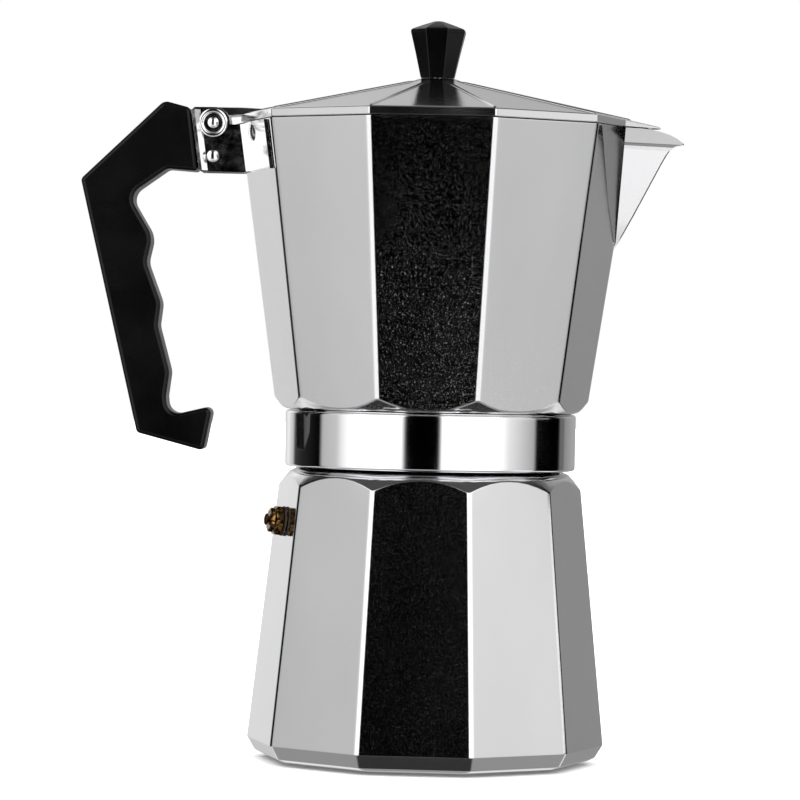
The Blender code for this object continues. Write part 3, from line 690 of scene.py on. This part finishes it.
def lid_outline(inset, rounding):
    """The lid's edge from above, with rounded corners and a point over the spout."""
    corners = [(74.8 - 1.6 * inset, 0.0, min(rounding, 0.8))]
    side = (62.4 - 0.95 * inset, 14.3 - 0.5 * inset)
    corners.append((side[0], side[1], rounding))
    radius = 65.3 - inset / COS_HALF
    for k in range(1, SIDES):
        angle = math.tau * k / SIDES
        corners.append((radius * math.cos(angle), radius * math.sin(angle), rounding))
    corners.append((side[0], -side[1], rounding))
    flat_points = []
    outline = rounded_outline(corners, CORNER_STEPS)
    per_corner = CORNER_STEPS + 1
    for k in range(len(corners)):
        bend = [Vector(p) for p in outline[k * per_corner : (k + 1) * per_corner]]
        following = Vector(outline[((k + 1) * per_corner) % len(outline)])
        flat_points += bend
        shares = [0.03] + [i / 6 for i in range(1, 6)] + [0.97]
        flat_points += [bend[-1].lerp(following, s) for s in shares]
    return flat_points


def lid_top_z(p, drop=0.0):
    """The ten-sided roof, its ridges eased over a little."""
    reaches = sorted(
        (p.x * math.cos(math.tau * (k + 0.5) / SIDES) + p.y * math.sin(math.tau * (k + 0.5) / SIDES))
        for k in range(SIDES)
    )
    first, second = reaches[-1], reaches[-2]
    ease = 1.2
    reach = first
    if first - second < ease:
        reach += (ease - (first - second)) ** 2 / (4 * ease)
    slope = 0.2067 / COS_HALF
    return 214.0 + (65.3 * COS_HALF - reach) * slope - drop


def make_lid():
    outer = lid_outline(0.0, 0.9)
    inset = lid_outline(0.35, 0.7)
    inner = lid_outline(2.2, 0.7)
    pad_top = 226.6
    pad = [Vector((p.x, p.y)).normalized() * 6.5 for p in outer]
    rings = [[(0, 0, pad_top)], [(p.x, p.y, pad_top) for p in pad]]
    for share in (0.04, 0.1, 0.25, 0.4, 0.55, 0.7, 0.85, 0.95, 0.985):
        line = [a.lerp(b, share) for a, b in zip(pad, inset)]
        rings.append([(p.x, p.y, min(lid_top_z(p), pad_top)) for p in line])
    rings.append([(p.x, p.y, lid_top_z(p) - 0.03) for p in inset])
    rings.append([(p.x, p.y, lid_top_z(p) - 0.3) for p in outer])
    rings.append([(p.x, p.y, 211.55) for p in outer])
    rings.append([(p.x, p.y, 211.3) for p in lid_outline(0.25, 0.8)])
    rings.append([(p.x, p.y, 211.3) for p in inner])
    rings.append([(p.x, p.y, max(lid_top_z(p, 1.8), 211.35)) for p in inner])
    under = pad_top - 3.0
    low_pad = [q * (8.5 / 6.5) for q in pad]
    for share in (0.3, 0.6, 0.9):
        line = [b.lerp(a, share) for a, b in zip(low_pad, inner)]
        rings.append([(p.x, p.y, max(lid_top_z(p, 1.8), 211.35)) for p in line])
    rings.append([(p.x, p.y, under) for p in low_pad])
    rings.append([(0, 0, under)])
    lid = shade(loft("lid_casting", rings), 40)
    piece(lid, "lid", "lid_aluminium", LID_POLISH, "lid")

    bm = bmesh.new()
    for k in range(SIDES):
        angle = math.tau * k / SIDES
        along = Vector((math.cos(angle), math.sin(angle)))
        across = Vector((-along.y, along.x, 0))
        rings = []
        for reach in (6.2, 12.0, 25.0, 40.0, 55.0, 64.0, 64.7):
            p = along * reach
            middle = Vector((p.x, p.y, lid_top_z(p) - 0.12))
            size = 0.12 if reach > 64.5 or reach < 6.5 else 0.6
            turns = [math.radians(-20 + 220 * i / 8) for i in range(9)]
            up = Vector((0, 0, size))
            rings.append([middle + across * size * math.cos(t) + up * math.sin(t) for t in turns])
        loops = [[bm.verts.new(q * MM) for q in ring] for ring in rings]
        for first, second in zip(loops, loops[1:]):
            for i in range(len(first)):
                j = (i + 1) % len(first)
                bm.faces.new((first[i], first[j], second[j], second[i]))
        bm.faces.new(loops[0])
        bm.faces.new(loops[-1])
    piece(shade(finish_mesh(bm, "lid_ridge_beads"), 50), "lid", "lid_aluminium", LID_POLISH, "lid")

    r = 5.25
    top = HINGE_Z + 5.3
    lug = rounded_outline(
        [
            (-53.0, 214.2, 0),
            (-55.0, 215.5, 2.0),
            (-64.5, top, 8.0),
            (HINGE_X - r, top - 0.05, r - 0.05),
            (HINGE_X - r, HINGE_Z - r, r - 0.05),
            (HINGE_X + r, HINGE_Z - r, r - 0.05),
            (HINGE_X + r, 212.9, 0.6),
        ],
        10,
    )
    lug = plate_xz("lid_lug", lug, -4.25, 4.25)
    piece(shade(soften(lug, 0.5)), "lid", "lid_aluminium", LID_POLISH, "lid")


def octagon_ring(radius, z, rounding):
    """Eight flats with small round corners, one flat nearly towards the front."""
    angles = [KNOB_TURN + math.tau * k / 8 for k in range(8)]
    corners = [(radius * math.cos(a), radius * math.sin(a), rounding) for a in angles]
    return [(x, y, z) for x, y in rounded_outline(corners, 4)]


def make_knob():
    rows = [(5.4, 226.9, 0.3), (5.9, 227.0, 0.4), (6.1, 227.4, 0.5), (7.9, 235.0, 0.6), (9.6, 241.6, 0.7)]
    rows += [(9.75, 242.3, 0.7), (9.6, 242.9, 0.7), (9.0, 243.3, 0.7), (5.4, 244.6, 0.6), (1.6, 245.85, 0.3)]
    rings = [[(0, 0, 226.9)]]
    rings += [octagon_ring(*row) for row in rows]
    rings.append([(0, 0, 246.0)])
    piece(shade(loft("knob_moulding", rings), 40), "lid", "black_plastic", PLASTIC, "knob")

    washer_top = 223.3
    profile = [(4.8, washer_top), (5.0, washer_top - 0.2), (5.0, washer_top - 0.6), (4.8, washer_top - 0.8)]
    profile += [(2.3, washer_top - 0.8), (2.3, washer_top)]
    washer = shade(turned("washer_ring", profile, 48, closed=True))
    piece(washer, "lid", "inner_steel", STEEL, "knob_washer")
    head = washer_top - 1.1
    profile = [(0, 235.0), (2.0, 234.6), (2.0, head), (3.5, head), (3.6, head - 0.2), (3.6, head - 1.0)]
    profile += [(3.2, head - 1.8), (2.3, head - 2.2), (0, head - 2.3)]
    screw = turned("pan_head_screw", profile, 48)
    combine(screw, "DIFFERENCE", box("slot", (-4, -0.45, head - 3), (4, 0.45, head - 1.3)))
    piece(shade(screw), "lid", "inner_steel", STEEL, "knob_screw")


# ---------------------------------------------------------------- bracket, pins and handle


def jug_solid(name, outward, low, high):
    rings = []
    for z in (low, high):
        rings.append([(p.x, p.y, z) for p in jug_section(z, -outward)])
    return loft(name, rings)


def wing_frame(side):
    """A frame on the jug's flat behind one wing of the bracket, +Z pointing out of it."""
    flat_r = (JUG_BOTTOM_R + (WING_RIVET_Z - JUG_BOTTOM_Z) * JUG_TAPER) * COS_HALF
    tilt = math.atan(JUG_TAPER * COS_HALF)
    turn = Matrix.Rotation(math.pi + side * HALF_SIDE, 4, "Z")
    place = Matrix.Translation((flat_r * MM, 0, WING_RIVET_Z * MM))
    return turn @ place @ Matrix.Rotation(math.pi / 2 + tilt, 4, "Y")


def make_bracket():
    bracket = jug_solid("bracket_pressing", 1.5, 190, 216)
    combine(bracket, "INTERSECT", box("extent", (-90, -36, BRACKET_BOTTOM_Z + 0.3), (-40, 36, 210.5)))
    cheek = rounded_outline(
        [
            (BRACKET_BOTTOM_X + 0.2, BRACKET_BOTTOM_Z, 0.8),
            (-60.0, BRACKET_BOTTOM_Z, 0),
            (-61.0, 210.1, 0),
            (-68.5, 210.1, 0.3),
            (-68.5, BRACKET_TOP_Z + 0.15, 5.2),
            (BRACKET_TOP_X + 0.2, BRACKET_TOP_Z, 0.8),
        ],
        8,
    )
    for side in (-1, 1):
        inner, outer = sorted((side * CHEEK_INNER_Y, side * CHEEK_OUTER_Y))
        combine(bracket, "UNION", plate_xz("cheek", cheek, inner, outer))
        lip = [(0, side * 5.3), (0, side * 7.7), (1.0, side * 7.6), (2.8, side * 5.85), (2.8, side * 5.3)]
        ends = ((BRACKET_BOTTOM_X, BRACKET_BOTTOM_Z + 0.5), (BRACKET_TOP_X, BRACKET_TOP_Z - 0.8))
        rings = [[(left + x, y, z) for x, y in lip] for left, z in ends]
        combine(bracket, "UNION", loft("lip", rings))
    combine(bracket, "DIFFERENCE", jug_solid("saddle_inside", 0.3, 188, 218))
    piece(shade(soften(bracket, 0.22, 2, 40)), "upper", "bracket_steel", STEEL, "handle_bracket")

    for number, side in ((1, -1), (2, 1)):
        rivet = [(0, 2.55), (1.2, 2.45), (2.2, 2.15), (2.8, 1.8), (2.8, 1.55), (1.5, 1.5), (1.5, -2.9)]
        rivet += [(2.8, -2.95), (2.8, -3.2), (2.2, -3.5), (1.2, -3.75), (0, -3.8)]
        rivet = turned(f"wing_rivet_{number}", rivet, 40)
        rivet.data.transform(wing_frame(side))
        piece(shade(rivet), "upper", "bracket_steel", STEEL, f"bracket_rivet_{number}")

    pins = (
        ("hinge_rivet", "hinge_pin", HINGE_X, HINGE_Z, 1.8),
        ("handle_rivet", "handle_pin", PIN_X, PIN_Z, 2.0),
    )
    for name, node, x, z, head in pins:
        face = CHEEK_OUTER_Y + 0.05
        profile = [(0, face + 1.3), (head * 0.5, face + 1.2), (head * 0.85, face + 0.9)]
        profile += [(head, face + 0.4), (head, face)]
        profile += [(1.5, face), (1.5, -face)]
        profile += [(r, -z_end) for r, z_end in reversed(profile[:5])]
        pin = turned(name, profile, 40)
        stand = Matrix.Translation(Vector((x, 0, z)) * MM) @ Matrix.Rotation(math.pi / 2, 4, "X")
        pin.data.transform(stand)
        piece(shade(pin), "upper", "bracket_steel", STEEL, node)

    for side in (-1, 1):
        base = CHEEK_OUTER_Y - 0.3
        ring = [(4.75, base), (4.75, base + 0.5), (4.6, base + 0.75), (4.2, base + 0.9), (3.7, base + 0.85)]
        ring += [(3.3, base + 0.55), (3.1, base + 0.35), (2.0, base + 0.33), (2.0, base)]
        boss = turned("boss_front" if side < 0 else "boss_back", ring, 64, closed=True)
        turn = Matrix.Rotation(side * -math.pi / 2, 4, "X")
        boss.data.transform(Matrix.Translation(Vector((HINGE_X, 0, HINGE_Z)) * MM) @ turn)
        piece(shade(boss), "upper", "bracket_steel", STEEL, "handle_bracket")


def make_handle():
    outline = rounded_outline(
        [
            (BRACKET_BOTTOM_X - 0.35, BRACKET_BOTTOM_Z + 0.1, 0),
            (BRACKET_TOP_X - 0.35, BRACKET_TOP_Z - 0.3, 0),
            (-90.5, 217.6, 3.0),
            (-117.8, 191.2, 2.0),
            (-97.6, 107.2, 1.6),
            (-75.2, 101.5, 1.6),
            (-72.4, 116.6, 2.0),
            (-87.3, 112.9, 4.0),
            (-88.0, 119.4, 4.0),
            (-87.0, 127.6, 7.0),
            (-91.2, 142.8, 6.0),
            (-90.3, 150.4, 7.0),
            (-95.4, 163.8, 6.0),
            (-93.5, 172.4, 8.0),
            (-101.65, 185.9, 4.5),
            (-89.0, 195.0, 3.0),
        ],
        8,
    )
    handle = plate_xz("handle_grip", outline, -7.5, 7.5)
    soften(handle, 1.5, 4, 50)
    piece(shade(handle, 40), "upper", "black_plastic", PLASTIC, "handle")
    tongue = box("handle_tongue", (-83.0, -4.25, 195.4), (-67.6, 4.25, 204.6))
    piece(shade(soften(tongue, 0.5)), "upper", "black_plastic", PLASTIC, "handle")


# ---------------------------------------------------------------- valve


def valve_frame():
    """A frame on the boiler's flat behind the valve, +Z pointing out of it."""
    flat_r = (BOILER_TOP_R + (BOILER_TOP_Z - VALVE_Z) * BOILER_TAPER) * COS_HALF
    tilt = math.atan(BOILER_TAPER * COS_HALF)
    place = Matrix.Translation((flat_r * MM, 0, VALVE_Z * MM))
    return Matrix.Rotation(VALVE_TURN, 4, "Z") @ place @ Matrix.Rotation(math.pi / 2 - tilt, 4, "Y")


def make_valve():
    stand = valve_frame()
    hexagon = []
    for radius, z in ((5.1, 1.2), (5.4, 1.45), (5.4, 3.3), (5.0, 3.6)):
        angles = [math.radians(30 + 60 * k) for k in range(6)]
        corners = [(radius * math.cos(a), radius * math.sin(a), 0.4) for a in angles]
        hexagon.append([(x, y, z) for x, y in rounded_outline(corners, 3)])
    body = loft("valve_hexagon", hexagon)
    combine(body, "UNION", turned("shank", [(0, 3), (3.4, 3), (3.4, -6.2), (3.1, -6.5), (0, -6.5)], 48))
    bore = [(0, 6), (2.4, 6), (2.4, -4.5), (1.2, -4.5), (1.2, -7), (0, -7)]
    combine(body, "DIFFERENCE", turned("bore", bore, 48))
    cap = [(3.3, 5.4), (3.9, 5.25), (4.1, 4.95), (4.1, 4.1), (3.9, 3.9), (1.2, 3.9), (1.2, 5.4)]
    cap = turned("valve_outer_cap", cap, 64, closed=True)
    for k in range(6):
        notch = box("notch", (3.4, -0.55, 3.0), (5.0, 0.55, 7.0))
        notch.data.transform(Matrix.Rotation(math.radians(30 + 60 * k), 4, "Z"))
        combine(cap, "DIFFERENCE", notch)
    stem = [(0, 6.9), (0.8, 6.87), (1.5, 6.7), (1.95, 6.4), (2.0, 6.1), (1.7, 5.75), (0.9, 5.7), (0.9, -3.2)]
    stem = turned("valve_pin", stem + [(2.1, -3.2), (2.1, -4.1), (0, -4.2)], 40)
    seal = turned("valve_gasket", [(4.9, 0.9), (4.9, 0.3), (3.9, 0.3), (3.9, 0.9)], 48, closed=True)
    rows = (
        (body, "valve_brass", BRASS, "valve_body", "boiler"),
        (cap, "valve_brass", BRASS, "valve_cap", "boiler"),
        (seal, "seal_rubber", DARK_RUBBER, "valve_seal", "boiler"),
        (stem, "valve_brass", BRASS, "valve_stem", "valve_stem"),
    )
    for obj, slot, material, node, rides_on in rows:
        obj.data.transform(stand)
        piece(shade(obj), rides_on, slot, material, node)


# ---------------------------------------------------------------- inside


def hole_grid(radius, spacing):
    reach = int(radius / spacing) + 1
    steps = range(-2 * reach, 2 * reach + 1)
    points = [((i + j / 2) * spacing, j * spacing * math.sqrt(3) / 2) for i in steps for j in steps]
    return [p for p in points if math.hypot(*p) <= radius]


def perforated(name, outer, holes, hole_r, low, high):
    """A disc punched with round holes, as a filled flat curve with a thickness."""
    curve = bpy.data.curves.new(name, "CURVE")
    curve.dimensions = "2D"
    curve.fill_mode = "BOTH"
    curve.extrude = (high - low) / 2 * MM
    rims = [((0, 0), outer, 96)] + [(centre, hole_r, 10) for centre in holes]
    for (x, y), radius, steps in rims:
        spline = curve.splines.new("POLY")
        spline.points.add(steps - 1)
        for k, point in enumerate(spline.points):
            a = math.tau * k / steps
            point.co = ((x + radius * math.cos(a)) * MM, (y + radius * math.sin(a)) * MM, 0, 1)
        spline.use_cyclic_u = True
    guide = new_object(name + "_outline", curve)
    bpy.context.view_layer.update()
    graph = bpy.context.evaluated_depsgraph_get()
    mesh = bpy.data.meshes.new_from_object(guide.evaluated_get(graph))
    bpy.data.objects.remove(guide, do_unlink=True)
    bm = bmesh.new()
    bm.from_mesh(mesh)
    bmesh.ops.remove_doubles(bm, verts=bm.verts, dist=0.000001)
    bmesh.ops.translate(bm, vec=(0, 0, (low + high) / 2 * MM), verts=bm.verts)
    return finish_mesh(bm, name)


def make_inside():
    low, high = 108.3, 109.1
    wall, floor, throat = 36.8, 79.0, 66.0
    profile = [(41.2, high - 0.2), (41.2, low + 0.2), (41.0, low), (wall + 0.6, low), (wall, low - 0.6)]
    profile += [(wall, floor + 1.5), (wall - 0.5, floor - 0.3), (wall - 1.6, floor - 0.8)]
    profile += [(34.2, floor - 0.8)]
    profile += [(10.0, throat + 1.0), (8.2, throat - 1.5), (6.6, 9.0), (5.8, 9.0), (7.4, throat - 1.0)]
    profile += [(9.4, throat + 1.6), (33.6, floor), (wall - 0.8, floor)]
    profile += [(wall - 0.8, high - 0.6), (wall - 0.4, high)]
    funnel = shade(turned("funnel_spinning", profile + [(41.0, high)], 96, closed=True))
    piece(funnel, "funnel", "funnel_aluminium", SPUN_ALUMINIUM, "funnel")
    disc = perforated("basket_disc", 35.7, hole_grid(32.5, 3.6), 0.65, floor + 0.3, floor + 1.1)
    piece(shade(disc), "funnel", "funnel_aluminium", SPUN_ALUMINIUM, "funnel_filter_disc")

    profile = [(43.0, 112.0), (43.3, 111.7), (43.3, 109.7), (43.0, 109.4), (33.7, 109.4), (33.4, 109.7)]
    profile += [(33.4, 111.7)]
    gasket = shade(turned("gasket_ring", profile + [(33.7, 112.0)], 96, closed=True))
    piece(gasket, "gasket_set", "seal_rubber", PALE_RUBBER, "gasket")
    disc = perforated("plate_centre", 26.2, hole_grid(24.2, 2.7), 0.5, 114.3, 115.0)
    piece(shade(disc), "gasket_set", "inner_steel", SPUN_STEEL, "filter_plate")
    profile = [(26.0, 115.0), (27.0, 114.8), (29.4, 113.2), (30.2, 113.0), (42.6, 113.0), (42.6, 112.3)]
    profile += [(30.0, 112.3)]
    rim = shade(turned("plate_rim", profile + [(28.8, 112.6), (26.4, 114.2), (26.0, 114.3)], 96, closed=True))
    piece(rim, "gasket_set", "inner_steel", SPUN_STEEL, "filter_plate")
    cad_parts["valve_spring"].data.materials.clear()
    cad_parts["valve_spring"].data.materials.append(STEEL)


# ---------------------------------------------------------------- studio


def make_floor():
    bm = bmesh.new()
    bmesh.ops.create_grid(bm, x_segments=1, y_segments=1, size=6.0)
    floor = finish_mesh(bm, "floor")
    floor.location.z = -0.0004
    n = Nodes("pale_floor")
    n.set(Roughness=0.9, Specular_IOR_Level=0.0)
    n.colours(n.noise(3.0, (1, 1, 1), 2.0), (0.90, 0.90, 0.90), (0.93, 0.93, 0.93))
    floor.data.materials.append(n.material)
    floor.visible_glossy = False


def make_world():
    """Soft boxes left and right, a dark card behind the camera, and dark gaps at the sides.

    Each band is an angle about the pot, 0 towards -Y and positive towards +X, and its brightness.
    """
    bands = [(-180, 0.42), (-152, 0.92), (-144, 0.66), (-140, 0.6), (-134, 0.05), (-122, 0.02), (-97, 0.0)]
    bands += [(-93, 0.5), (-78, 0.6), (-73, 0.9), (-60, 1.45), (-22, 1.45), (-18, 0.0), (8, 0.0), (11, 1.45)]
    bands += [(56, 1.4), (66, 0.86), (80, 0.6), (91, 0.42), (94, 0.0), (124, 0.0), (127, 0.16), (132, 0.14)]
    bands += [(136, 0.28), (152, 0.38), (180, 0.42)]
    floor_light = 2.4
    world = bpy.data.worlds.new("studio")
    bpy.context.scene.world = world
    world.use_nodes = True
    tree = world.node_tree
    background = tree.nodes["Background"]

    def link(start, end):
        tree.links.new(start, end)

    def math_node(operation, first, second=0.0):
        node = tree.nodes.new("ShaderNodeMath")
        node.operation = operation
        for socket, value in zip(node.inputs, (first, second)):
            if isinstance(value, (int, float)):
                socket.default_value = value
            else:
                link(value, socket)
        return node.outputs[0]

    def mix(share, first, second):
        node = tree.nodes.new("ShaderNodeMix")
        node.data_type = "FLOAT"
        for socket, value in zip((node.inputs[0], node.inputs[2], node.inputs[3]), (share, first, second)):
            if isinstance(value, (int, float)):
                socket.default_value = value
            else:
                link(value, socket)
        return node.outputs[0]

    coordinates = tree.nodes.new("ShaderNodeTexCoord")
    split = tree.nodes.new("ShaderNodeSeparateXYZ")
    link(coordinates.outputs["Generated"], split.inputs[0])
    turn = math_node("ARCTAN2", split.outputs[0], math_node("MULTIPLY", split.outputs[1], -1.0))
    share = math_node("ADD", math_node("DIVIDE", turn, math.tau), 0.5)
    ramp = tree.nodes.new("ShaderNodeValToRGB")
    stops = ramp.color_ramp.elements
    for angle, value in bands[1:-1]:
        stops.new((angle + 180) / 360).color = (value, value, value, 1)
    stops[0].color = (bands[0][1],) * 3 + (1,)
    stops[len(stops) - 1].color = (bands[-1][1],) * 3 + (1,)
    link(share, ramp.inputs["Fac"])

    def step(value, low, high):
        node = tree.nodes.new("ShaderNodeMapRange")
        node.interpolation_type = "SMOOTHSTEP"
        node.inputs["From Min"].default_value = low
        node.inputs["From Max"].default_value = high
        link(value, node.inputs["Value"])
        return node.outputs["Result"]

    up = split.outputs[2]
    height = math_node("MULTIPLY_ADD", up, 0.5)
    height.node.inputs[2].default_value = 1.0
    around = math_node("MULTIPLY", ramp.outputs["Color"], height)
    # A dark ceiling, and a bright skirt below the horizon.
    around = mix(step(up, 0.5, 0.8), around, 0.08)
    around = mix(step(up, -0.42, -0.54), around, 1.0)
    # Two windows on the right: one level with the lid's point, one low, for the spout's cheek.
    level = math_node("MULTIPLY", step(up, 0.02, 0.05), step(up, 0.14, 0.1))
    high_window = math_node("MULTIPLY", level, step(turn, 1.95, 1.85))
    low_window = math_node("MULTIPLY", step(up, -0.24, -0.3), step(turn, 1.72, 1.62))
    beside = math_node("MULTIPLY", math_node("MAXIMUM", high_window, low_window), step(turn, 1.2, 1.35))
    around = mix(beside, around, 1.16)
    # The skirt fades to dark straight down.
    around = mix(step(up, -0.56, -0.68), around, 0.35)
    around = mix(step(up, -0.8, -0.9), around, 0.04)
    path = tree.nodes.new("ShaderNodeLightPath")
    soft = mix(path.outputs["Is Diffuse Ray"], around, floor_light)
    link(mix(path.outputs["Is Camera Ray"], soft, 1.0), background.inputs["Color"])


def make_camera():
    """The camera stands level with the pot's waist, a little round to the right, and is rolled."""
    distance, height, orbit = 1380.0, 137.0, math.radians(1.3)
    yaw, pitch, roll = math.radians(-0.431) - orbit, math.radians(-0.72), math.radians(1.15)
    forward = Vector((math.sin(yaw) * math.cos(pitch), math.cos(yaw) * math.cos(pitch), math.sin(pitch)))
    right = Vector((math.cos(yaw), -math.sin(yaw), 0))
    up = right.cross(forward)
    tilted = right * math.cos(roll) + up * math.sin(roll)
    top = up * math.cos(roll) - right * math.sin(roll)
    data = bpy.data.cameras.new("camera")
    data.lens = 186.35
    data.sensor_width = 36.0
    data.clip_start = 0.05
    camera = bpy.data.objects.new("camera", data)
    bpy.context.scene.collection.objects.link(camera)
    turn = Matrix((tilted, top, -forward)).transposed().to_4x4()
    place = Vector((distance * math.sin(orbit), -distance * math.cos(orbit), height))
    camera.matrix_world = Matrix.Translation(place * MM) @ turn
    bpy.context.scene.camera = camera


make_camera()
make_boiler()
make_jug()
make_lid()
make_knob()
make_bracket()
make_handle()
make_valve()
make_inside()
make_floor()
make_world()
bpy.context.scene.view_settings.view_transform = "Standard"
